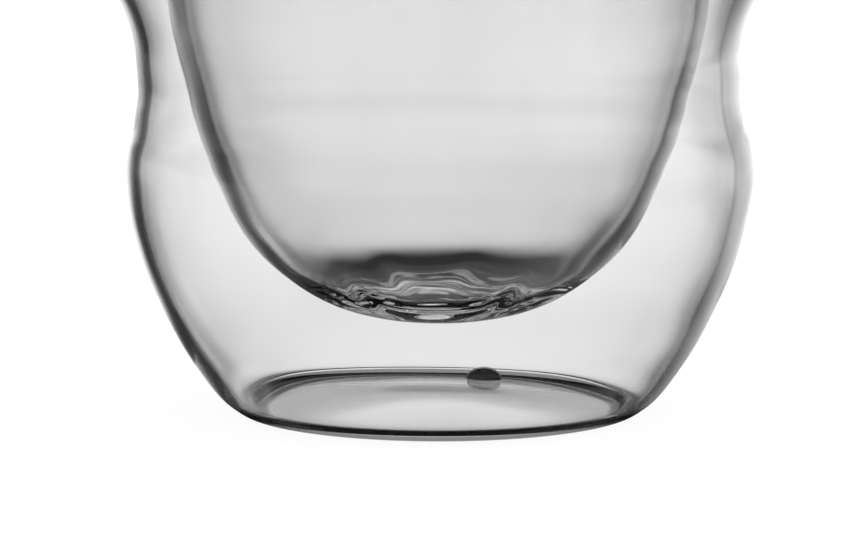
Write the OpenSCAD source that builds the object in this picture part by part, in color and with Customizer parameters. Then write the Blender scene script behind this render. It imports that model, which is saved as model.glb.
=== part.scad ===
// Double walled glass cup: a blown inner bowl hangs inside a waisted blown shell.
// The two are melted together at the lip, and the air between them is sealed by a
// glass plug in the foot. Millimetres, +Z up, origin at the middle of the foot.

/* [Cup] */
// Height from the table to the top of the lip
cup_h = 95; // [85:1:120]
// Height of the fused lip above the seam where the two walls meet it
lip_h = 3; // [2:0.25:4]
// Air between the two walls at that seam
lip_gap = 0.75; // [0.4:0.05:1.6]

/* [Inner bowl] */
// Outside diameter of the bowl at the seam
bowl_d = 74.8; // [62:0.2:90]
// Height of the bowl's underside above the table
bowl_z = 12.5; // [10:0.1:16]
// Wall of the bowl
bowl_wall = 1.95; // [1.5:0.05:2.4]
// Glass in the middle of the bowl's bottom
bowl_bottom = 4.5; // [3:0.1:6]
// Height of the rings that cooling left in the bottom, from crest to hollow
ring_h = 0.5; // [0.1:0.05:0.7]
// Distance from one ring to the next
ring_pitch = 8; // [5:0.5:10]

/* [Outer shell] */
// Wall of the shell
shell_wall = 2.1; // [1.6:0.05:2.5]
// How far the shoulder stands out past the lip
shoulder_out = 4.85; // [3:0.05:8]
// Height of the shoulder
shoulder_z = 66; // [58:0.5:72]
// How far the waist lies in from the lip
waist_in = 1.4; // [0:0.05:2]
// Height of the waist
waist_z = 42.5; // [38:0.5:48]
// How far the belly stands out past the waist
belly_out = 1.7; // [0.5:0.05:4]
// Height of the belly
belly_z = 30.9; // [26:0.1:35]
// Outside diameter of the ring that the cup stands on
foot_d = 49.2; // [44:0.2:56]
// Width of the flat on that ring
foot_flat_w = 1.3; // [0.5:0.1:1.5]
// Rise of the hollow under the foot
kick_h = 1.4; // [0.6:0.1:1.8]
// Glass of the floor, inside the ring that the cup stands on
floor_wall = 0.9; // [0.8:0.1:1.6]

/* [Vent] */
// Diameter of the hole that lets air out while the lip is fused
vent_d = 2; // [1.5:0.1:2.5]
// Distance of the hole's middle in from the flat of the foot
vent_in = 2.7; // [2.6:0.1:8]
// Turn of the hole about the axis, from the right towards the back
vent_turn = 72.5; // [0:0.5:180]
// Diameter of the drop of glass that seals it inside
drop_d = 4.8; // [4:0.1:5.2]
// Height of that drop above its seat
drop_h = 2; // [1:0.1:3]
// Least depth of the seat that the drop melted into the floor
seat_h = 0.1; // [0.05:0.05:0.2]
// Depth of the plug's end inside the hole's mouth
plug_recess = 0.1; // [0.05:0.05:0.2]

/* [Hidden] */

// Facets of a whole turn, and points between two stations of a profile
$fn = 144;
fine = 6;
// Overrun of every cut
over = 1;
// Room between the seal and the shell, all round it
seal_gap = 0.02;

bowl_r = bowl_d / 2;
cavity_r = bowl_r - bowl_wall;
shell_in_r = bowl_r + lip_gap;
lip_r = shell_in_r + shell_wall;
shoulder_r = lip_r + shoulder_out;
waist_r = lip_r - waist_in;
belly_r = waist_r + belly_out;
foot_r = foot_d / 2;
flat_r = foot_r - foot_flat_w;
vent_r = vent_d / 2;
vent_out = flat_r - vent_in;
vent_x = vent_out * cos(vent_turn);
vent_y = vent_out * sin(vent_turn);
drop_r = drop_d / 2;
seam_z = cup_h - lip_h;

// Stations of the shell, as shares of the way out and up between two named places:
// foot to belly, waist to belly, waist to shoulder, and shoulder to seam
heel_shares = [[0.1216, 0.01424], [0.3235, 0.1104], [0.6144, 0.344], [0.8803, 0.6657]];
hip_shares = [0.27, 0.38];
neck_shares = [[0.082, 0.3], [0.664, 0.685]];
crown_shares = [[0.12, 0.3], [0.52, 0.64], [0.91, 0.9]];
// Share of the wall's glass that the heel has at the foot and at its first stations
heel_glass_shares = [0.9, 0.69, 0.81, 0.87, 0.91];
// Stations of the bowl, as shares of its radius and of its height up to the seam
bowl_shares = [[0.24, 0.003], [0.455, 0.042], [0.663, 0.132], [0.8, 0.258],
               [0.88, 0.396], [0.941, 0.535], [0.975, 0.69], [0.994, 0.85]];
// Share of the extra glass that the bowl's bottom has at its middle and at each station
bottom_glass_shares = [1, 0.78, 0, 0, 0, 0, 0, 0, 0];
// Reach of the rings from the middle, as a share of the bowl's radius
ring_reach_share = 0.42;

// A point between a and b: share[0] of the way outwards, share[1] of the way up
function between(a, b, share) =
    [a[0] + share[0] * (b[0] - a[0]), a[1] + share[1] * (b[1] - a[1])];

// A parabola through a, b and c, which it meets at t = -1, 0 and 1
function parabola(a, b, c, t) = b + t * (c - a) / 2 + t * t * ((a + c) / 2 - b);

// The stretch from b to c: the parabola through a, b, c turns into the one through
// b, c, d, so that neither the slope nor the curvature jumps at a station
function stretch(a, b, c, d, t) =
    let (turn = pow(sin(90 * t), 2))
    (1 - turn) * parabola(a, b, c, t) + turn * parabola(b, c, d, t - 1);

// A smooth line through stations[1] to the last but one; the two outermost stations
// only steer its ends. Each station holds a radius, a height and a wall.
function smooth_line(stations) = [
    for (i = [1 : len(stations) - 3], k = [0 : fine - 1])
        stretch(stations[i - 1], stations[i], stations[i + 1], stations[i + 2], k / fine),
    stations[len(stations) - 2]
];

// The line that lies each point's own wall to the left of the line, square to it
function offset_line(line) = [
    for (i = [0 : len(line) - 1])
        let (before = line[max(i - 1, 0)],
             after = line[min(i + 1, len(line) - 1)],
             run = [after[0] - before[0], after[1] - before[1]],
             unit = run / norm(run))
        [line[i][0] - unit[1] * line[i][2], line[i][1] + unit[0] * line[i][2]]
];

function flat_points(line) = [for (p = line) [p[0], p[1]]];
function reversed(line) = [for (i = [len(line) - 1 : -1 : 0]) line[i]];

// Moves the ends of a line onto the axis and onto the seam, at the radius that it has there
function trimmed(line, seam_r) = concat(
    [[0, line[0][1]]],
    [for (i = [1 : len(line) - 2]) line[i]],
    [[seam_r, seam_z]]
);

// Rise of the hollow under the foot, at a distance from the axis
function dish_rise(r) = kick_h * pow(cos(90 * r / flat_r), 2);

// The drop's seat lies under the lowest floor around it, and the plug ends above the hole's mouth
seat_z = dish_rise(vent_out + drop_r) + floor_wall - seat_h;
plug_z = dish_rise(vent_out - vent_r) + plug_recess;

// Outer face of the shell, from the middle of the hollow foot to the seam
foot_point = [foot_r, 0];
belly_point = [belly_r, belly_z];
waist_point = [waist_r, waist_z];
shoulder_point = [shoulder_r, shoulder_z];
seam_point = [lip_r, seam_z];

function with_wall(point, wall) = [point[0], point[1], wall];

// The hollow of the foot, and the flat, across which the glass swells from floor to heel
dish_line = [
    for (k = [0 : 2 * fine - 1])
        let (r = flat_r * k / (2 * fine))
        [r, dish_rise(r), floor_wall]
];
flat_line = [
    for (k = [0 : fine - 1])
        let (share = k / fine)
        [flat_r + foot_flat_w * share, 0,
         floor_wall + (shell_wall * heel_glass_shares[0] - floor_wall) * pow(sin(90 * share), 2)]
];
heel_stations = [
    for (i = [0 : len(heel_shares) - 1])
        with_wall(between(foot_point, belly_point, heel_shares[i]),
                  shell_wall * heel_glass_shares[i + 1])
];
neck_stations = [for (s = neck_shares) with_wall(between(waist_point, shoulder_point, s), shell_wall)];
crown_stations = [for (s = crown_shares) with_wall(between(shoulder_point, seam_point, s), shell_wall)];
last_crown = crown_stations[len(crown_stations) - 1];
side_line = smooth_line(concat(
    [[2 * foot_r - heel_stations[0][0], heel_stations[0][1], heel_stations[0][2]],
     with_wall(foot_point, shell_wall * heel_glass_shares[0])],
    heel_stations,
    [with_wall(belly_point, shell_wall),
     with_wall(between(waist_point, belly_point, hip_shares), shell_wall),
     with_wall(waist_point, shell_wall)],
    neck_stations,
    [with_wall(shoulder_point, shell_wall)],
    crown_stations,
    [with_wall(seam_point, shell_wall),
     [last_crown[0], 2 * seam_z - last_crown[1], shell_wall]]
));
shell_line = concat(dish_line, flat_line, side_line);
shell_face = flat_points(shell_line);
room_face = trimmed(offset_line(shell_line), shell_in_r);

// Outer face of the bowl, from the middle of its underside to the seam
bowl_stations = [
    for (i = [0 : len(bowl_shares) - 1])
        [bowl_r * bowl_shares[i][0],
         bowl_z + (seam_z - bowl_z) * bowl_shares[i][1],
         bowl_wall + (bowl_bottom - bowl_wall) * bottom_glass_shares[i + 1]]
];
last_bowl = bowl_stations[len(bowl_stations) - 1];
bowl_line = smooth_line(concat(
    [[-bowl_stations[0][0], bowl_stations[0][1], bowl_stations[0][2]],
     [0, bowl_z, bowl_bottom]],
    bowl_stations,
    [[bowl_r, seam_z, bowl_wall],
     [last_bowl[0], 2 * seam_z - last_bowl[1], bowl_wall]]
));
bowl_face = flat_points(bowl_line);

// The rings die out towards their reach, so the cavity runs on smoothly up the wall
ring_reach = bowl_r * ring_reach_share;
function ring_rise(r) = r >= ring_reach ? 0
    : ring_h / 2 * cos(360 * r / ring_pitch) * pow(cos(90 * r / ring_reach), 2);
// Points of the ringed floor between two points of the bowl's smooth inner line
ring_fine = 4;
plain_cavity = trimmed(offset_line(bowl_line), cavity_r);
function rung(i, k) = plain_cavity[i] + (plain_cavity[i + 1] - plain_cavity[i]) * k / ring_fine;
cavity_face = [
    for (i = [0 : len(plain_cavity) - 2],
         k = [0 : (plain_cavity[i][0] < ring_reach ? ring_fine : 1) - 1])
        let (p = rung(i, k)) [p[0], p[1] + ring_rise(p[0])],
    plain_cavity[len(plain_cavity) - 1]
];

// Blown shell with a hollow foot, the vent hole drilled through it and the drop's seat
module outer_shell() {
    color("gainsboro", 0.35)
    difference() {
        rotate_extrude()
            polygon(concat(shell_face, reversed(room_face)));
        translate([vent_x, vent_y, -over])
            cylinder(r = vent_r, h = seat_z + 2 * over);
        translate([vent_x, vent_y, seat_z])
            cylinder(r = drop_r + seal_gap, h = kick_h + over);
    }
}

// Blown bowl with a thick ringed bottom
module inner_bowl() {
    color("silver", 0.5)
    rotate_extrude()
        polygon(concat(bowl_face, reversed(cavity_face)));
}

// Fused lip: half an ellipse over both walls, with an arch over the air between them
module rim_bead() {
    lip_mid_r = (lip_r + cavity_r) / 2;
    lip_half_w = (lip_r - cavity_r) / 2;
    air_mid_r = (shell_in_r + bowl_r) / 2;
    air_half_w = (shell_in_r - bowl_r) / 2;
    lip_step = 180 / (4 * fine);
    arch_step = 180 / (2 * fine);
    color("whitesmoke", 0.6)
    rotate_extrude()
        polygon(concat(
            [for (a = [0 : lip_step : 180])
                [lip_mid_r + lip_half_w * cos(a), seam_z + lip_h * sin(a)]],
            [for (a = [180 : -arch_step : 0])
                [air_mid_r + air_half_w * cos(a), seam_z + air_half_w * sin(a)]]
        ));
}

// Glass plug in the vent hole, with the drop that the flame drew up on its seat: half an ellipse
module vent_seal() {
    plug_r = vent_r - seal_gap;
    drop_step = 90 / (2 * fine);
    color("lightgrey", 0.6)
    translate([vent_x, vent_y, 0])
    rotate_extrude()
        polygon(concat(
            [[0, plug_z], [plug_r, plug_z], [plug_r, seat_z]],
            [for (a = [0 : drop_step : 90]) [drop_r * cos(a), seat_z + drop_h * sin(a)]]
        ));
}

outer_shell();
inner_bowl();
rim_bead();
vent_seal();
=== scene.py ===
"""Double walled glass cup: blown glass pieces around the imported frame, and their stage."""

import math

import bpy
import numpy as np
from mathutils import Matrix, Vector


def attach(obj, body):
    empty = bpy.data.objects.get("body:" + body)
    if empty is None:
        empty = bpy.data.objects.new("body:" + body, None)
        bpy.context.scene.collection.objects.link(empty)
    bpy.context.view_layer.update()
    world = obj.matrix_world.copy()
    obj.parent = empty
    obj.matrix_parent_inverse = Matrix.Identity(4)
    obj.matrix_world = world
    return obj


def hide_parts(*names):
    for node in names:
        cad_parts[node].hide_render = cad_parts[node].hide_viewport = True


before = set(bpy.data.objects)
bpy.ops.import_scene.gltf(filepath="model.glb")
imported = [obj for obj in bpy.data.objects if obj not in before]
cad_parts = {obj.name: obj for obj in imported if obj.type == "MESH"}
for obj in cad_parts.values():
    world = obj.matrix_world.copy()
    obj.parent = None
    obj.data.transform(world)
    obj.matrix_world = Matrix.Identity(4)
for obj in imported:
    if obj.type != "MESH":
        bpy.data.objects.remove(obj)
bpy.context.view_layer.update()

bl_info = {
    "name": "Double walled glass cup",
    "version": (1, 0, 0),
    "blender": (4, 5, 0),
    "location": "3D View > Sidebar > Cup",
    "description": "Builds a double walled cup of blown glass and a plain stage for it",
    "category": "Add Mesh",
}

MM = 0.001

# Fineness: points round the axis, points round the seal, points from one station to the next
TURNS, SEAL_TURNS = 192, 96
SHELL_STEPS, BOWL_STEPS = 14, 20
# Rows of the foot's floor from above and from below, of the lip, of its air and of the drop
OVER_ROWS, UNDER_ROWS = 26, 30
LIP_ROWS, ARCH_ROWS, DROP_ROWS = 49, 25, 41
# Places of a piece's two materials: its glass, and faces melted to the next piece
GLASS, MELTED = 0, 1
# Points in one cell of this size are one point, with the cells shifted so that no round size lies
# on their edges, and a normal shorter than the last of these is none
MERGE_CELL, CELL_SHIFT, NO_LENGTH = 0.001 * MM, 0.3, 1e-12

# Stations of the shell, as shares of the way out and up between two named places:
# foot to belly, waist to belly, waist to shoulder, shoulder to seam
HEEL_SHARES = ((0.1216, 0.01424), (0.3235, 0.1104), (0.6144, 0.344), (0.8803, 0.6657))
HIP_SHARES = (0.27, 0.38)
NECK_SHARES = ((0.082, 0.3), (0.664, 0.685))
CROWN_SHARES = ((0.12, 0.3), (0.52, 0.64), (0.91, 0.9))
# Glass at the foot and at the heel's stations, as shares of the shell's wall
FOOT_GLASS_SHARE = 0.9
HEEL_GLASS_SHARES = (0.69, 0.81, 0.87, 0.91)
# Stations of the bowl, as shares of its radius and of its height up to the seam, and the share of
# the bottom's extra glass at each
BOWL_SHARES = ((0.24, 0.003), (0.455, 0.042), (0.663, 0.132), (0.8, 0.258),
               (0.88, 0.396), (0.941, 0.535), (0.975, 0.69), (0.994, 0.85))
BOTTOM_GLASS_SHARES = (0.78, 0, 0, 0, 0, 0, 0, 0)

# The wandering axis of the shell, in millimetres: how far it goes to the right, and the heights at
# which it sets out, is there, turns back and is in the middle again
DRIFTS = ((0.16, (24, 31, 34, 39)), (-0.27, (42, 47, 54, 66)))
# The swell of the inner faces: its height, the ways on which it starts and ends, and for each of
# its two waves the number round the axis, the share, the height of one radian and the start
SWELL_H, SWELL_START, SWELL_END = 0.02 * MM, 12 * MM, 18 * MM
SWELL_WAVES = ((2, 1, 7 * MM, 0), (3, 0.7, -4.3 * MM, 1.3))
# Where the swell of the shell's and of the bowl's inner face starts above the table and ends under
# the top of the lip
SHELL_EASE, BOWL_EASE = (4 * MM, 12 * MM), (18 * MM, 8 * MM)

# The ripples, in millimetres: how far their middle lies to the front, the radius in which they
# stand at full height and the way on which they die out
RIPPLE_FRONT, RIPPLE_CORE, RIPPLE_WAY = 3.5, 9, 12
# Their slant, the height, bend and start of their arches, and the small bends on these
RIPPLE_SLANT = 0.1
ARCH_H, ARCH_BEND, ARCH_START = 7, 0.22, 0.25
BEND_H, BEND_Y, BEND_X, BEND_START = 0.8, 0.31, 0.3, 1
# Ripple pitches on one wave, how far that wave and the finer one on it go up and down, as shares of
# the ripple height, and how much the finer one runs aslant
RIPPLE_STRETCH, RIPPLE_SHARE, FINE_SHARE, FINE_SLANT = 1.5, 0.36, 0.07, 0.05

# Glass: how strongly it bends light, the grey of its gloss, how far its streaks are drawn out
# upwards, and the levels of noise between which it goes from clear to streak
GLASS_IOR = 1.47
GLOSS_GREY = (0.25, 0.25, 0.25, 1)
DRAWN_OUT = (1, 1, 0.35)
STREAK_FROM, STREAK_TO = 0.45, 0.75

# The picture: its width and height, its pixels to a metre, where the foot's middle shows in it, and
# the width of the camera's sensor in millimetres
IMAGE_W, IMAGE_H = 855, 535
PX_PER_M = 7670.0
FOOT_PX = (439.0, 408.0)
SENSOR_W = 36.0

# Light panels round the cup: way round, half width and soft edge in degrees, lowest and highest
# sine of elevation, how softly it ends there, level
PANELS = (
    (-1, 9, 12, -0.17, -0.09, 0.12, 0.80),
    (25, 3, 11, -0.14, -0.14, 0.30, 0.39),
    (16, 19, 7, -0.10, 0.27, 0.13, 0.18),
    (-44, 6, 9, -0.51, -0.50, 0.21, 0.82),
    (-83, 22, 16, -0.63, 0.05, 0.12, 0.81),
    (-42, 3, 9, -0.07, 0.00, 0.14, 0.45),
    (48, 6, 7, -0.10, 0.03, 0.12, 0.60),
    (80, 26, 19, -0.48, -0.26, 0.12, 0.62),
    (135, 18, 12, -0.60, 0.10, 0.20, 0.85),
    (1, 21, 16, 0.04, 0.26, 0.13, 0.09),
    (-2, 18, 11, -0.04, -0.13, 0.11, 0.19),
    (0, 36, 16, 0.30, 0.60, 0.12, 0.50),
)
# Level between the panels, level for surfaces that aren't glass, and the floor's own glow
DIM, PLAIN_LEVEL, FLOOR_GLOW = 0.039, 0.8, 1.09
# The floor lies this far under the foot, and the shade where the foot touches it fades in on the
# first and out on the second of these ways, in millimetres
FLOOR_DROP = 0.05 * MM
TOUCH_FADE_IN, TOUCH_FADE_OUT = 1, 2
# Middle and side of the square lamp
LAMP_PLACE, LAMP_SIZE = (0.5, -0.3, 1.4), 1.2
# How often light may go through glass, be mirrored, and go through a face where nothing shows
GLASS_BOUNCES, GLOSSY_BOUNCES, CLEAR_BOUNCES = 32, 16, 32


def length(name, description, default):
    """A length property, in metres."""
    return bpy.props.FloatProperty(name=name, description=description, default=default,
                                   min=0.0, subtype="DISTANCE", unit="LENGTH", precision=5)


def angle(name, description, degrees):
    """An angle property, given in degrees."""
    return bpy.props.FloatProperty(name=name, description=description,
                                   default=math.radians(degrees), subtype="ANGLE", unit="ROTATION")


def number(name, description, default):
    """A property that is a plain number."""
    return bpy.props.FloatProperty(name=name, description=description, default=default, min=0.0)


def colour(name, description, default):
    """A colour property."""
    return bpy.props.FloatVectorProperty(name=name, description=description, default=default,
                                         subtype="COLOR", size=3, min=0.0, max=1.0)


class CupSizes(bpy.types.PropertyGroup):
    """Sizes of the cup."""
    cup_h: length("Height", "From the table to the top of the lip", 95 * MM)
    lip_h: length("Lip height", "Fused lip above the seam", 3 * MM)
    lip_gap: length("Lip gap", "Air between the walls at the seam", 0.75 * MM)
    shoulder_out: length("Shoulder", "How far it stands out past the lip", 4.85 * MM)
    shoulder_z: length("Shoulder height", "Height of the shoulder", 66 * MM)
    waist_in: length("Waist", "How far it lies in from the lip", 1.4 * MM)
    waist_z: length("Waist height", "Height of the waist", 42.5 * MM)
    belly_out: length("Belly", "How far it stands out past the waist", 1.7 * MM)
    belly_z: length("Belly height", "Height of the belly", 30.9 * MM)
    foot_d: length("Foot diameter", "Ring that the cup stands on", 49.2 * MM)
    foot_flat_w: length("Foot flat", "Width of the flat on that ring", 1.3 * MM)
    kick_h: length("Foot hollow", "Rise of the hollow under the foot", 1.4 * MM)
    shell_wall: length("Shell wall", "Glass of the shell", 2.1 * MM)
    shell_shift: length("Shell shift", "How far the shell's inner face lies to the left", 0.25 * MM)
    floor_wall: length("Floor glass", "Glass of the floor inside the foot's ring", 0.9 * MM)
    bowl_d: length("Bowl diameter", "Outside of the bowl at the seam", 74.8 * MM)
    bowl_z: length("Bowl height", "Underside of the bowl above the table", 12.5 * MM)
    bowl_wall: length("Bowl wall", "Glass of the bowl", 1.95 * MM)
    bowl_shift: length("Bowl shift", "How far the bowl's inner face lies to the right", 0.17 * MM)
    bowl_bottom: length("Bowl bottom", "Glass in the middle of the bottom", 4.5 * MM)
    ring_h: length("Ripple height", "Scale of the height of the ripples in the bottom", 0.5 * MM)
    ring_pitch: length("Ripple pitch", "Scale of the way from one ripple to the next", 8 * MM)
    vent_d: length("Vent diameter", "Hole in the floor that the seal plugs", 2.0 * MM)
    vent_in: length("Vent place", "From the flat of the foot in to the vent's middle", 2.7 * MM)
    vent_turn: angle("Vent turn", "From the right towards the back", 72.5)
    drop_d: length("Drop diameter", "Drop of glass on the vent", 4.8 * MM)
    drop_h: length("Drop height", "Height of the drop above its seat", 2 * MM)
    seat_h: length("Seat depth", "Least depth to which the drop melted into the floor", 0.1 * MM)
    plug_recess: length("Plug recess", "Depth of the plug's end inside the vent", 0.1 * MM)


class GlassLook(bpy.types.PropertyGroup):
    """Look of the glass."""
    clear: colour("Tint", "Colour of the glass where it is clearest", (0.925, 0.925, 0.925))
    cloudy: colour("Faint streaks", "Colour of its faint streaks", (0.905, 0.908, 0.906))
    streak_size: length("Streak size", "Width of a faint streak", 14 * MM)
    wave_size: length("Wave size", "Distance between the soft waves that blowing leaves", 18 * MM)
    wave_h: length("Wave height", "Height of those waves", 0.01 * MM)


class StageLook(bpy.types.PropertyGroup):
    """Camera, floor and light."""
    distance: length("Camera distance", "From the camera to the middle of the foot", 0.70)
    elevation: angle("Elevation", "How far the camera looks down", 9.5)
    floor_half: length("Floor", "Half the side of the floor", 4.0)
    floor_tone: colour("Floor colour", "Pale floor", (0.9, 0.9, 0.9))
    floor_lit: number("Shadow share", "Share of the floor that takes light and shadow", 0.14)
    touch_in: length("Contact inside", "Inner radius of the shade that the foot casts", 22.9 * MM)
    touch_out: length("Contact outside", "Outer radius of that shade", 27 * MM)
    touch_dark: number("Contact shade", "How dark that shade shows in the glass", 0.8)
    lamp_power: number("Lamp power", "Power of the soft lamp, in watts", 6.0)


def parabola(a, b, c, t):
    """The parabola that meets a, b and c at t = -1, 0 and 1."""
    return b + t * (c - a) / 2 + t * t * ((a + c) / 2 - b)


def smooth_line(stations, fine):
    """Line through stations[1] to the last but one: on each stretch the parabola through the three
    stations around its start turns, by sin squared, into the one around its end."""
    s = np.asarray(stations, float)
    t = np.arange(fine)[None, :, None] / fine
    turn = np.sin(np.pi / 2 * t) ** 2
    a, b, c, d = (s[i:len(s) - 3 + i, None, :] for i in range(4))
    line = (1 - turn) * parabola(a, b, c, t) + turn * parabola(b, c, d, t - 1)
    return np.vstack([line.reshape(-1, s.shape[1]), s[-2:-1]])


def offset_line(line):
    """The line that lies each point's own wall to its left, square to it."""
    way = np.concatenate([[0], np.cumsum(np.linalg.norm(np.diff(line[:, :2], axis=0), axis=1))])
    run = np.gradient(line[:, :2], way, axis=0)
    unit = run / np.linalg.norm(run, axis=1, keepdims=True)
    return line[:, :2] + np.stack([-unit[:, 1], unit[:, 0]], 1) * line[:, 2:3]


def between(a, b, share):
    """The point share[0] of the way out and share[1] of the way up from a to b."""
    return (a[0] + share[0] * (b[0] - a[0]), a[1] + share[1] * (b[1] - a[1]))


def bump(x, low, rise, fall, high):
    """0 up to low, 1 from rise to fall and 0 from high on, with cosine slopes between."""
    up = np.clip((x - low) / (rise - low), 0, 1)
    down = np.clip((high - x) / (high - fall), 0, 1)
    return np.sin(np.pi / 2 * up) ** 2 * np.sin(np.pi / 2 * down) ** 2


def lip_r(s):
    """Radius of the lip: the bowl, the air at the seam and the shell's wall."""
    return s.bowl_d / 2 + s.lip_gap + s.shell_wall


def flat_r(s):
    """Inner radius of the flat that the cup stands on."""
    return s.foot_d / 2 - s.foot_flat_w


def dish_rise(s, r):
    """Height of the hollow under the foot: the square of a cosine of the radius."""
    return s.kick_h * np.cos(np.pi / 2 * r / flat_r(s)) ** 2


def floor_top(s, r):
    """Upper face of the floor over that hollow, the floor's glass square to its slope."""
    slope = s.kick_h * np.pi / 2 / flat_r(s) * np.sin(np.pi * r / flat_r(s))
    return dish_rise(s, r) + s.floor_wall * np.sqrt(1 + slope ** 2)


def vent_place(s):
    """Middle of the vent, the height of the drop's seat and the height of the plug's end."""
    out = flat_r(s) - s.vent_in
    seat_z = dish_rise(s, out + s.drop_d / 2) + s.floor_wall - s.seat_h
    plug_z = dish_rise(s, out - s.vent_d / 2) + s.plug_recess
    return (out * math.cos(s.vent_turn), out * math.sin(s.vent_turn)), seat_z, plug_z


def shell_line(s, fine):
    """Outer face of the shell from the inside of the foot's flat to the seam: radius, height and
    wall."""
    lip = lip_r(s)
    foot, waist = (s.foot_d / 2, 0.0), (lip - s.waist_in, s.waist_z)
    belly, shoulder = (waist[0] + s.belly_out, s.belly_z), (lip + s.shoulder_out, s.shoulder_z)
    seam = (lip, s.cup_h - s.lip_h)
    wall, foot_wall = s.shell_wall, s.shell_wall * FOOT_GLASS_SHARE
    heel = [(*between(foot, belly, p), wall * g) for p, g in zip(HEEL_SHARES, HEEL_GLASS_SHARES)]
    neck = [(*between(waist, shoulder, p), wall) for p in NECK_SHARES]
    crown = [(*between(shoulder, seam, p), wall) for p in CROWN_SHARES]
    side = smooth_line(
        [(2 * foot[0] - heel[0][0], heel[0][1], heel[0][2]), (*foot, foot_wall), *heel,
         (*belly, wall), (*between(waist, belly, HIP_SHARES), wall), (*waist, wall), *neck,
         (*shoulder, wall), *crown, (*seam, wall),
         (crown[-1][0], 2 * seam[1] - crown[-1][1], wall)], fine)
    share = np.arange(fine) / fine
    swell = s.floor_wall + (foot_wall - s.floor_wall) * np.sin(np.pi / 2 * share) ** 2
    flat = np.stack([flat_r(s) + s.foot_flat_w * share, np.zeros(fine), swell], 1)
    return np.vstack([flat, side])


def bowl_line(s, fine):
    """Outer face of the bowl from the middle of its underside to the seam: radius, height and
    wall."""
    r, seam_z = s.bowl_d / 2, s.cup_h - s.lip_h
    extra = s.bowl_bottom - s.bowl_wall
    st = [(r * p[0], s.bowl_z + (seam_z - s.bowl_z) * p[1], s.bowl_wall + extra * g)
          for p, g in zip(BOWL_SHARES, BOTTOM_GLASS_SHARES)]
    return smooth_line(
        [(-st[0][0], st[0][1], st[0][2]), (0, s.bowl_z, s.bowl_bottom), *st,
         (r, seam_z, s.bowl_wall), (st[-1][0], 2 * seam_z - st[-1][1], s.bowl_wall)], fine)


def circle(turns=TURNS):
    """Cosines and sines of the directions round the axis."""
    way = 2 * np.pi * np.arange(turns) / turns
    return np.cos(way), np.sin(way)


def revolved(line, turns=TURNS):
    """Grid of a line of radii and heights turned about the axis: (r cos a, r sin a, z)."""
    cos, sin = circle(turns)
    line = np.asarray(line, float)
    return np.stack([line[:, :1] * cos, line[:, :1] * sin,
                     np.broadcast_to(line[:, 1:2], (len(line), turns))], 2)


def ring(middle, r, z):
    """The circle of radius r round middle, at height z."""
    cos, sin = circle()
    return np.stack([middle[0] + r * cos, middle[1] + r * sin, np.full(TURNS, z)], 1)


def nested_disc(middle, small_r, large_r, rows, height):
    """Grid of nested circles. Centre and radius move evenly from the small circle round middle to
    the large circle round the axis, and each point lies at the height that its distance from the
    axis gives."""
    cos, sin = circle()
    share = np.linspace(0, 1, rows)[:, None]
    radius = small_r + (large_r - small_r) * share
    x, y = (1 - share) * middle[0] + radius * cos, (1 - share) * middle[1] + radius * sin
    return np.stack([x, y, height(np.hypot(x, y))], 2)


def grid_normals(grid):
    """Unit normals of a grid that closes in its second direction: along a row crossed with across
    the rows, by differences. A row that is a single point takes the mean of the next row."""
    steps = np.linalg.norm(np.diff(grid, axis=0), axis=2).mean(1)
    way = np.concatenate([[0], np.cumsum(steps)])
    up = np.gradient(grid, way, axis=0, edge_order=2 if len(grid) > 2 else 1)
    around = np.roll(grid, -1, axis=1) - np.roll(grid, 1, axis=1)
    normal = np.cross(around, up)
    size = np.linalg.norm(normal, axis=2, keepdims=True)
    point = size.max(1)[:, 0] < NO_LENGTH
    normal = normal / np.where(size < NO_LENGTH, 1, size)
    for end, beside in ((0, 1), (-1, -2)):
        if point[end]:
            mean = normal[beside].mean(0)
            normal[end] = mean / np.linalg.norm(mean)
    return normal


def make_piece(name, patches, materials):
    """A closed mesh from patches, each a grid of points and the material of its faces (one for
    all, or one for each). Points that lie on each other are merged, and faces that shrink to a
    line at a pole become triangles. Normals come from each patch's own grid."""
    points, quads, normals, marks, count = [], [], [], [], 0
    for grid, mark in patches:
        rows, turns = grid.shape[:2]
        i, j = np.meshgrid(np.arange(rows - 1), np.arange(turns), indexing="ij")
        k = (j + 1) % turns
        near, far = i * turns, (i + 1) * turns
        quad = np.stack([near + j, near + k, far + k, far + j], 2)
        points.append(grid.reshape(-1, 3))
        normals.append(grid_normals(grid).reshape(-1, 3))
        quads.append(quad.reshape(-1, 4) + count)
        marks.append(np.broadcast_to(mark, (rows - 1, turns)).ravel())
        count += rows * turns
    points, normals = np.vstack(points), np.vstack(normals)
    quads, marks = np.vstack(quads), np.concatenate(marks)
    key = np.round(points / MERGE_CELL + CELL_SHIFT).astype(np.int64)
    _, first, back = np.unique(key, axis=0, return_index=True, return_inverse=True)
    index = back.reshape(-1)[quads]
    keep = index != np.roll(index, -1, axis=1)
    sides = keep.sum(1)
    good = sides >= 3
    index, keep, sides, marks, quads = (a[good] for a in (index, keep, sides, marks, quads))
    mesh = bpy.data.meshes.new(name)
    mesh.vertices.add(len(first))
    mesh.vertices.foreach_set("co", points[first].astype(np.float32).ravel())
    mesh.loops.add(int(sides.sum()))
    mesh.loops.foreach_set("vertex_index", index[keep].astype(np.int32))
    mesh.polygons.add(len(sides))
    starts = np.concatenate([[0], np.cumsum(sides)[:-1]]).astype(np.int32)
    mesh.polygons.foreach_set("loop_start", starts)
    mesh.polygons.foreach_set("material_index", marks.astype(np.int32))
    mesh.update(calc_edges=True)
    mesh.polygons.foreach_set("use_smooth", np.ones(len(sides), bool))
    mesh.normals_split_custom_set(normals[quads][keep].tolist())
    for material in materials:
        mesh.materials.append(material)
    piece = bpy.data.objects.new(name, mesh)
    bpy.context.scene.collection.objects.link(piece)
    return piece


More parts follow.
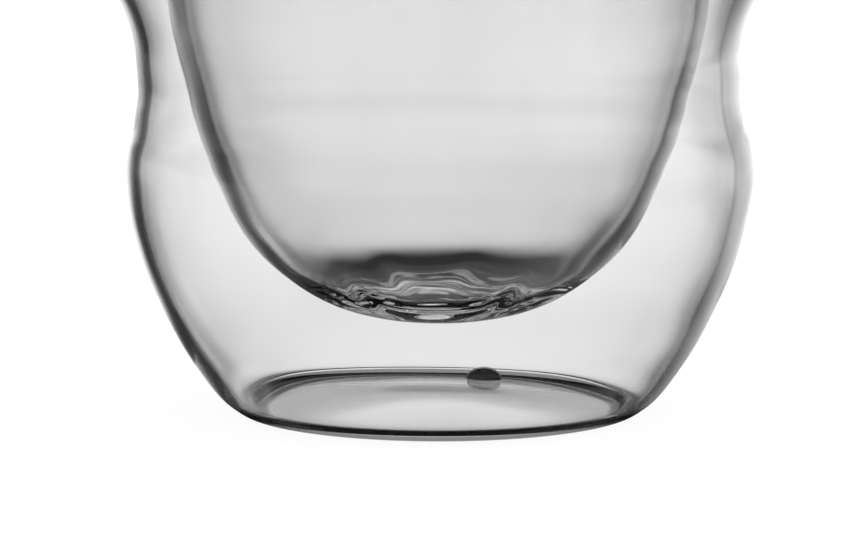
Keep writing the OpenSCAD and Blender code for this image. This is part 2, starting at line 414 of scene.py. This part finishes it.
def drifted(grid):
    """Lets the shell's axis wander, as a shell blown by hand does: to the left at the neck, to the
    right at the belly and not at all at foot and lip."""
    z = grid[..., 2] / MM
    grid = grid.copy()
    grid[..., 0] += MM * sum(right * bump(z, *heights) for right, heights in DRIFTS)
    return grid


def eased(grid, shift, low, high):
    """Moves a wall's inner face sideways by shift and lets it swell softly in and out between the
    heights low and high, by sines of the way round and the height: the wall is thicker on one
    side, and nowhere quite even."""
    x, y, z = grid[..., 0], grid[..., 1], grid[..., 2]
    side = np.arctan2(y, x)
    share = bump(z, low, low + SWELL_START, high - SWELL_END, high)
    swell = SWELL_H * sum(part * np.sin(count * side + z / pitch + start)
                          for count, part, pitch, start in SWELL_WAVES)
    grid = grid.copy()
    grid[..., 0] += share * (shift + swell * np.cos(side))
    grid[..., 1] += share * swell * np.sin(side)
    return grid


def rippled(s, grid):
    """Raises the bowl's bottom into ripples: the cosine of a distance that runs from front to back
    in arches and bends on its way, full in the middle and dying out up the bowl's wall."""
    x, y = grid[..., 0] / MM, grid[..., 1] / MM
    out = (np.hypot(x, y + RIPPLE_FRONT) - RIPPLE_CORE) / RIPPLE_WAY
    fade = np.cos(np.pi / 2 * np.clip(out, 0, 1)) ** 2
    arch = ARCH_H * np.cos(ARCH_BEND * x + ARCH_START)
    bends = BEND_H * np.sin(BEND_Y * y + BEND_X * x + BEND_START)
    turn = 2 * np.pi * (y - RIPPLE_SLANT * x - arch + bends) / (RIPPLE_STRETCH * s.ring_pitch / MM)
    wave = RIPPLE_SHARE * np.cos(turn) + FINE_SHARE * np.cos(2 * turn + FINE_SLANT * x)
    grid = grid.copy()
    grid[..., 2] += s.ring_h * wave * fade
    return grid


class Socket:
    """A shader socket or a number, with Python's operators as Math nodes."""

    def __init__(self, graph, value):
        self.graph, self.value = graph, value

    def _math(self, operation, *values):
        return self.graph.node("ShaderNodeMath", {"operation": operation}, dict(enumerate(values)))

    def __add__(self, other):
        return self._math("ADD", self, other)

    def __rsub__(self, other):
        return self._math("SUBTRACT", other, self)

    def __mul__(self, other):
        return self._math("MULTIPLY", self, other)

    def __truediv__(self, other):
        return self._math("DIVIDE", self, other)

    def __pow__(self, other):
        return self._math("POWER", self, other)

    __rmul__ = __mul__

    def maximum(self, other):
        return self._math("MAXIMUM", self, other)

    def step(self, low, high, first=0.0, last=1.0):
        """From first to last as this value goes from low to high, with soft ends."""
        return self.graph.node("ShaderNodeMapRange", {"interpolation_type": "SMOOTHSTEP"},
                               {0: self, 1: low, 2: high, 3: first, 4: last})


class Graph:
    """The nodes of one material or world."""

    def __init__(self, owner):
        owner.use_nodes = True
        self.tree = owner.node_tree
        self.tree.nodes.clear()

    def node(self, kind, settings, values, out=0):
        """Adds a node: its settings first, then a value or a link for each named or numbered
        socket. Gives the numbered or named output."""
        node = self.tree.nodes.new(kind)
        for key, setting in settings.items():
            setattr(node, key, setting)
        for key, x in values.items():
            x = x.value if isinstance(x, Socket) else x
            if isinstance(x, bpy.types.NodeSocket):
                self.tree.links.new(x, node.inputs[key])
            else:
                node.inputs[key].default_value = x
        return Socket(self, node.outputs[out]) if out is not None else node

    def object_coords(self):
        """Places on the object, measured from its origin."""
        return self.node("ShaderNodeTexCoord", {}, {}, "Object")

    def light_path(self, *names):
        """The named outputs of one Light Path node."""
        node = self.node("ShaderNodeLightPath", {}, {}, None)
        return [Socket(self, node.outputs[name]) for name in names]


def glass(name):
    """Clear blown glass: faint streaks in its tint, drawn out upwards, and the soft waves that
    blowing leaves in its skin."""
    look = bpy.context.scene.cup_glass
    material = bpy.data.materials.new(name)
    g = Graph(material)
    coords = g.object_coords()
    drawn = g.node("ShaderNodeMapping", {}, {"Vector": coords, "Scale": DRAWN_OUT})
    streaks = g.node("ShaderNodeTexNoise", {}, {"Vector": drawn, "Scale": 1 / look.streak_size,
                                                "Detail": 2.0, "Roughness": 0.5})
    tint = g.node("ShaderNodeMix", {"data_type": "RGBA"},
                  {0: streaks.step(STREAK_FROM, STREAK_TO), 6: (*look.clear, 1),
                   7: (*look.cloudy, 1)}, 2)
    waves = g.node("ShaderNodeTexNoise", {}, {"Vector": drawn, "Scale": 1 / look.wave_size,
                                              "Detail": 1.0, "Roughness": 0.4})
    skin_normal = g.node("ShaderNodeBump", {},
                         {"Strength": 1.0, "Distance": look.wave_h, "Height": waves})
    skin = g.node("ShaderNodeBsdfPrincipled", {}, {
        "Base Color": tint, "Roughness": 0.0, "IOR": GLASS_IOR, "Transmission Weight": 1.0,
        "Specular Tint": GLOSS_GREY, "Normal": skin_normal})
    g.node("ShaderNodeOutputMaterial", {}, {"Surface": skin}, None)
    return material


def melted(name):
    """The material of faces that are melted to their neighbour: nothing shows there."""
    material = bpy.data.materials.new(name)
    g = Graph(material)
    clear = g.node("ShaderNodeBsdfTransparent", {}, {"Color": (1, 1, 1, 1)})
    g.node("ShaderNodeOutputMaterial", {}, {"Surface": clear}, None)
    return material


def place(piece, node):
    """Hangs a piece, already built where its CAD node is, from the root body, and hides that node.
    """
    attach(piece, "root")
    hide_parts(node)


class CUP_OT_shell(bpy.types.Operator):
    """Blow the outer shell"""
    bl_idname = "cup.shell"
    bl_label = "Outer shell"

    def execute(self, context):
        s = context.scene.cup_sizes
        line = shell_line(s, SHELL_STEPS)
        room = offset_line(line)
        room[0] = (flat_r(s), floor_top(s, flat_r(s)))
        room[-1] = (lip_r(s) - s.shell_wall, s.cup_h - s.lip_h)
        middle, seat_z, plug_z = vent_place(s)
        vent_r, drop_r = s.vent_d / 2, s.drop_d / 2
        under = nested_disc(middle, vent_r, flat_r(s), UNDER_ROWS, lambda r: dish_rise(s, r))
        over = nested_disc(middle, drop_r, flat_r(s), OVER_ROWS, lambda r: floor_top(s, r))[::-1]
        seat, mouth = ring(middle, drop_r, seat_z), ring(middle, vent_r, seat_z)
        plug_end = ring(middle, vent_r, plug_z)
        outer = drifted(revolved(line[:, :2]))
        low, high = SHELL_EASE[0], s.cup_h - SHELL_EASE[1]
        inner = drifted(eased(revolved(room), -s.shell_shift, low, high))[::-1]
        patches = [(over, GLASS), (np.stack([over[-1], seat]), MELTED),
                   (np.stack([seat, mouth]), MELTED), (np.stack([mouth, plug_end]), MELTED),
                   (np.stack([plug_end, under[0]]), GLASS), (under, GLASS), (outer, GLASS),
                   (np.stack([outer[-1], inner[0]]), MELTED), (inner, GLASS)]
        piece = make_piece("outer_shell_glass", patches,
                           [glass("shell_glass"), melted("shell_melted")])
        place(piece, "outer_shell")
        return {"FINISHED"}


class CUP_OT_bowl(bpy.types.Operator):
    """Blow the inner bowl"""
    bl_idname = "cup.bowl"
    bl_label = "Inner bowl"

    def execute(self, context):
        s = context.scene.cup_sizes
        line = bowl_line(s, BOWL_STEPS)
        cavity = offset_line(line)
        cavity[0, 0] = 0
        cavity[-1] = (s.bowl_d / 2 - s.bowl_wall, s.cup_h - s.lip_h)
        outer = revolved(line[:, :2])
        low, high = BOWL_EASE[0], s.cup_h - BOWL_EASE[1]
        inner = rippled(s, eased(revolved(cavity), s.bowl_shift, low, high))[::-1]
        patches = [(outer, GLASS), (np.stack([outer[-1], inner[0]]), MELTED), (inner, GLASS)]
        piece = make_piece("inner_bowl_glass", patches,
                           [glass("bowl_glass"), melted("bowl_melted")])
        place(piece, "inner_bowl")
        return {"FINISHED"}


class CUP_OT_lip(bpy.types.Operator):
    """Melt the two walls together at the lip"""
    bl_idname = "cup.lip"
    bl_label = "Fused lip"

    def execute(self, context):
        s = context.scene.cup_sizes
        z = s.cup_h - s.lip_h
        out_r, in_r = lip_r(s), s.bowl_d / 2 - s.bowl_wall
        air_out, air_in = out_r - s.shell_wall, s.bowl_d / 2
        a = np.linspace(0, np.pi, LIP_ROWS)
        middle, half = (out_r + in_r) / 2, (out_r - in_r) / 2
        top = revolved(np.stack([middle + half * np.cos(a), z + s.lip_h * np.sin(a)], 1))
        a = np.linspace(np.pi, 0, ARCH_ROWS)
        middle, half = (air_out + air_in) / 2, (air_out - air_in) / 2
        arch = revolved(np.stack([middle + half * np.cos(a), z + half * np.sin(a)], 1))
        patches = [(top, GLASS), (np.stack([top[-1], arch[0]]), MELTED),
                   (arch, GLASS), (np.stack([arch[-1], top[0]]), MELTED)]
        piece = make_piece("rim_bead_glass", patches, [glass("lip_glass"), melted("lip_melted")])
        place(piece, "rim_bead")
        return {"FINISHED"}


class CUP_OT_seal(bpy.types.Operator):
    """Seal the vent with a plug and a drop of glass"""
    bl_idname = "cup.seal"
    bl_label = "Vent seal"

    def execute(self, context):
        s = context.scene.cup_sizes
        middle, seat_z, plug_z = vent_place(s)
        plug_r, drop_r = s.vent_d / 2, s.drop_d / 2
        a = np.linspace(0, np.pi / 2, DROP_ROWS)
        dome = np.stack([drop_r * np.cos(a), seat_z + s.drop_h * np.sin(a)], 1)
        dome[-1, 0] = 0
        lines = [([(0, plug_z), (plug_r / 2, plug_z), (plug_r, plug_z)], GLASS),
                 ([(plug_r, plug_z), (plug_r, seat_z)], MELTED),
                 ([(plug_r, seat_z), (drop_r, seat_z)], MELTED), (dome, GLASS)]
        patches = [(revolved(line, SEAL_TURNS) + (*middle, 0), mark) for line, mark in lines]
        skin = patches[-1][0]
        faces = (skin[:-1] + skin[1:]) / 2
        sunk = faces[..., 2] < floor_top(s, np.hypot(faces[..., 0], faces[..., 1]))
        patches[-1] = (skin, np.where(sunk, MELTED, GLASS))
        piece = make_piece("vent_seal_glass", patches, [glass("seal_glass"), melted("seal_melted")])
        place(piece, "vent_seal")
        return {"FINISHED"}


def make_camera(look):
    """Camera in front of the cup. The foot's middle shows at its place in the picture."""
    focal_px = PX_PER_M * look.distance
    camera = bpy.data.cameras.new("camera")
    camera.sensor_width = SENSOR_W
    camera.lens = focal_px / IMAGE_W * SENSOR_W
    obj = bpy.data.objects.new("camera", camera)
    bpy.context.scene.collection.objects.link(obj)
    e = look.elevation
    obj.location = (0, -look.distance * math.cos(e), look.distance * math.sin(e))
    right = (FOOT_PX[0] - IMAGE_W / 2) / focal_px
    down = (FOOT_PX[1] - IMAGE_H / 2) / focal_px
    aim_x = -right * look.distance
    aim_z = look.distance * (math.sin(e) - math.tan(e - math.atan(down)) * math.cos(e))
    direction = Vector((aim_x, 0, aim_z)) - obj.location
    obj.rotation_euler = direction.to_track_quat("-Z", "Y").to_euler()
    bpy.context.scene.camera = obj


def make_world():
    """White for the camera. Glass sees soft light panels with dark cards between them."""
    world = bpy.data.worlds.new("studio")
    bpy.context.scene.world = world
    g = Graph(world)
    way = g.node("ShaderNodeTexCoord", {}, {}, "Generated")
    split = g.node("ShaderNodeSeparateXYZ", {}, {0: way}, None)
    x, y, z = (Socket(g, split.outputs[i]) for i in range(3))
    flat = (x * x + y * y) ** 0.5
    seen = DIM
    for turn, half, edge, low, high, fade, level in PANELS:
        a = math.radians(turn)
        toward = (x * math.sin(a) + y * math.cos(a)) / flat
        end, full = math.cos(math.radians(half + edge)), math.cos(math.radians(half))
        inside = toward.step(end, full, 0, level)
        seen = inside * z.step(low - fade, low) * z.step(high, high + fade, 1, 0) + seen
    camera_ray, diffuse_ray = g.light_path("Is Camera Ray", "Is Diffuse Ray")
    hidden = seen * (1 - diffuse_ray) + diffuse_ray * PLAIN_LEVEL
    strength = camera_ray + (1 - camera_ray) * hidden
    back = g.node("ShaderNodeBackground", {}, {"Color": (1, 1, 1, 1), "Strength": strength})
    g.node("ShaderNodeOutputWorld", {}, {"Surface": back}, None)


def make_floor(look):
    """A pale floor that keeps the shadow for the camera and lets glass see the panels behind it,
    darker in a ring where the foot touches it."""
    n = look.floor_half
    mesh = bpy.data.meshes.new("floor")
    mesh.from_pydata([(-n, -n, 0), (n, -n, 0), (n, n, 0), (-n, n, 0)], [], [(0, 1, 2, 3)])
    floor = bpy.data.objects.new("floor", mesh)
    floor.location.z = -FLOOR_DROP
    bpy.context.scene.collection.objects.link(floor)
    material = bpy.data.materials.new("pale_floor")
    g = Graph(material)
    transmission, glossy = g.light_path("Is Transmission Ray", "Is Glossy Ray")
    lit = g.node("ShaderNodeBsdfDiffuse", {}, {"Color": (*look.floor_tone, 1)})
    glow = g.node("ShaderNodeEmission", {}, {"Color": (1, 1, 1, 1), "Strength": FLOOR_GLOW})
    seen = g.node("ShaderNodeMixShader", {}, {0: 1 - look.floor_lit, 1: lit, 2: glow})
    coords = g.object_coords()
    out = g.node("ShaderNodeVectorMath", {"operation": "LENGTH"}, {0: coords}, "Value") / MM
    low, high = look.touch_in / MM, look.touch_out / MM
    touch = out.step(low - TOUCH_FADE_IN, low) * out.step(high, high + TOUCH_FADE_OUT, 1, 0)
    clear = g.node("ShaderNodeBsdfTransparent", {}, {"Color": 1 - look.touch_dark * touch})
    skin = g.node("ShaderNodeMixShader", {}, {0: transmission.maximum(glossy), 1: seen, 2: clear})
    g.node("ShaderNodeOutputMaterial", {}, {"Surface": skin}, None)
    mesh.materials.append(material)


def make_lamp(look):
    """One soft lamp above, which gives the floor its faint shadow."""
    lamp = bpy.data.lights.new("soft_box", "AREA")
    lamp.energy, lamp.size = look.lamp_power, LAMP_SIZE
    box = bpy.data.objects.new("soft_box", lamp)
    box.location = LAMP_PLACE
    box.rotation_euler = (-box.location).to_track_quat("-Z", "Y").to_euler()
    box.visible_glossy = box.visible_transmission = False
    bpy.context.scene.collection.objects.link(box)


class CUP_OT_stage(bpy.types.Operator):
    """Set up the camera, the floor and the light"""
    bl_idname = "cup.stage"
    bl_label = "Stage"

    def execute(self, context):
        scene = context.scene
        make_camera(scene.cup_stage)
        make_world()
        make_floor(scene.cup_stage)
        make_lamp(scene.cup_stage)
        scene.view_settings.view_transform = "Standard"
        scene.cycles.max_bounces = scene.cycles.transmission_bounces = GLASS_BOUNCES
        scene.cycles.glossy_bounces = GLOSSY_BOUNCES
        scene.cycles.transparent_max_bounces = CLEAR_BOUNCES
        return {"FINISHED"}


PIECE_OPERATORS = (CUP_OT_shell, CUP_OT_bowl, CUP_OT_lip, CUP_OT_seal)


class CUP_PT_cup(bpy.types.Panel):
    """Builds the cup, piece by piece"""
    bl_label = "Double walled cup"
    bl_idname = "CUP_PT_cup"
    bl_space_type = "VIEW_3D"
    bl_region_type = "UI"
    bl_category = "Cup"

    def draw(self, context):
        column = self.layout.column()
        for operator in (*PIECE_OPERATORS, CUP_OT_stage):
            column.operator(operator.bl_idname)
        for group in (context.scene.cup_sizes, context.scene.cup_glass, context.scene.cup_stage):
            column.separator()
            for name in group.__annotations__:
                column.prop(group, name)


GROUPS = {"cup_sizes": CupSizes, "cup_glass": GlassLook, "cup_stage": StageLook}
CLASSES = (*GROUPS.values(), *PIECE_OPERATORS, CUP_OT_stage, CUP_PT_cup)


def register():
    for cls in CLASSES:
        bpy.utils.register_class(cls)
    for name, group in GROUPS.items():
        setattr(bpy.types.Scene, name, bpy.props.PointerProperty(type=group))


def unregister():
    for name in GROUPS:
        delattr(bpy.types.Scene, name)
    for cls in reversed(CLASSES):
        bpy.utils.unregister_class(cls)


def main():
    register()
    bpy.ops.cup.shell()
    bpy.ops.cup.bowl()
    bpy.ops.cup.lip()
    bpy.ops.cup.seal()
    bpy.ops.cup.stage()


if __name__ == "__main__":
    main()
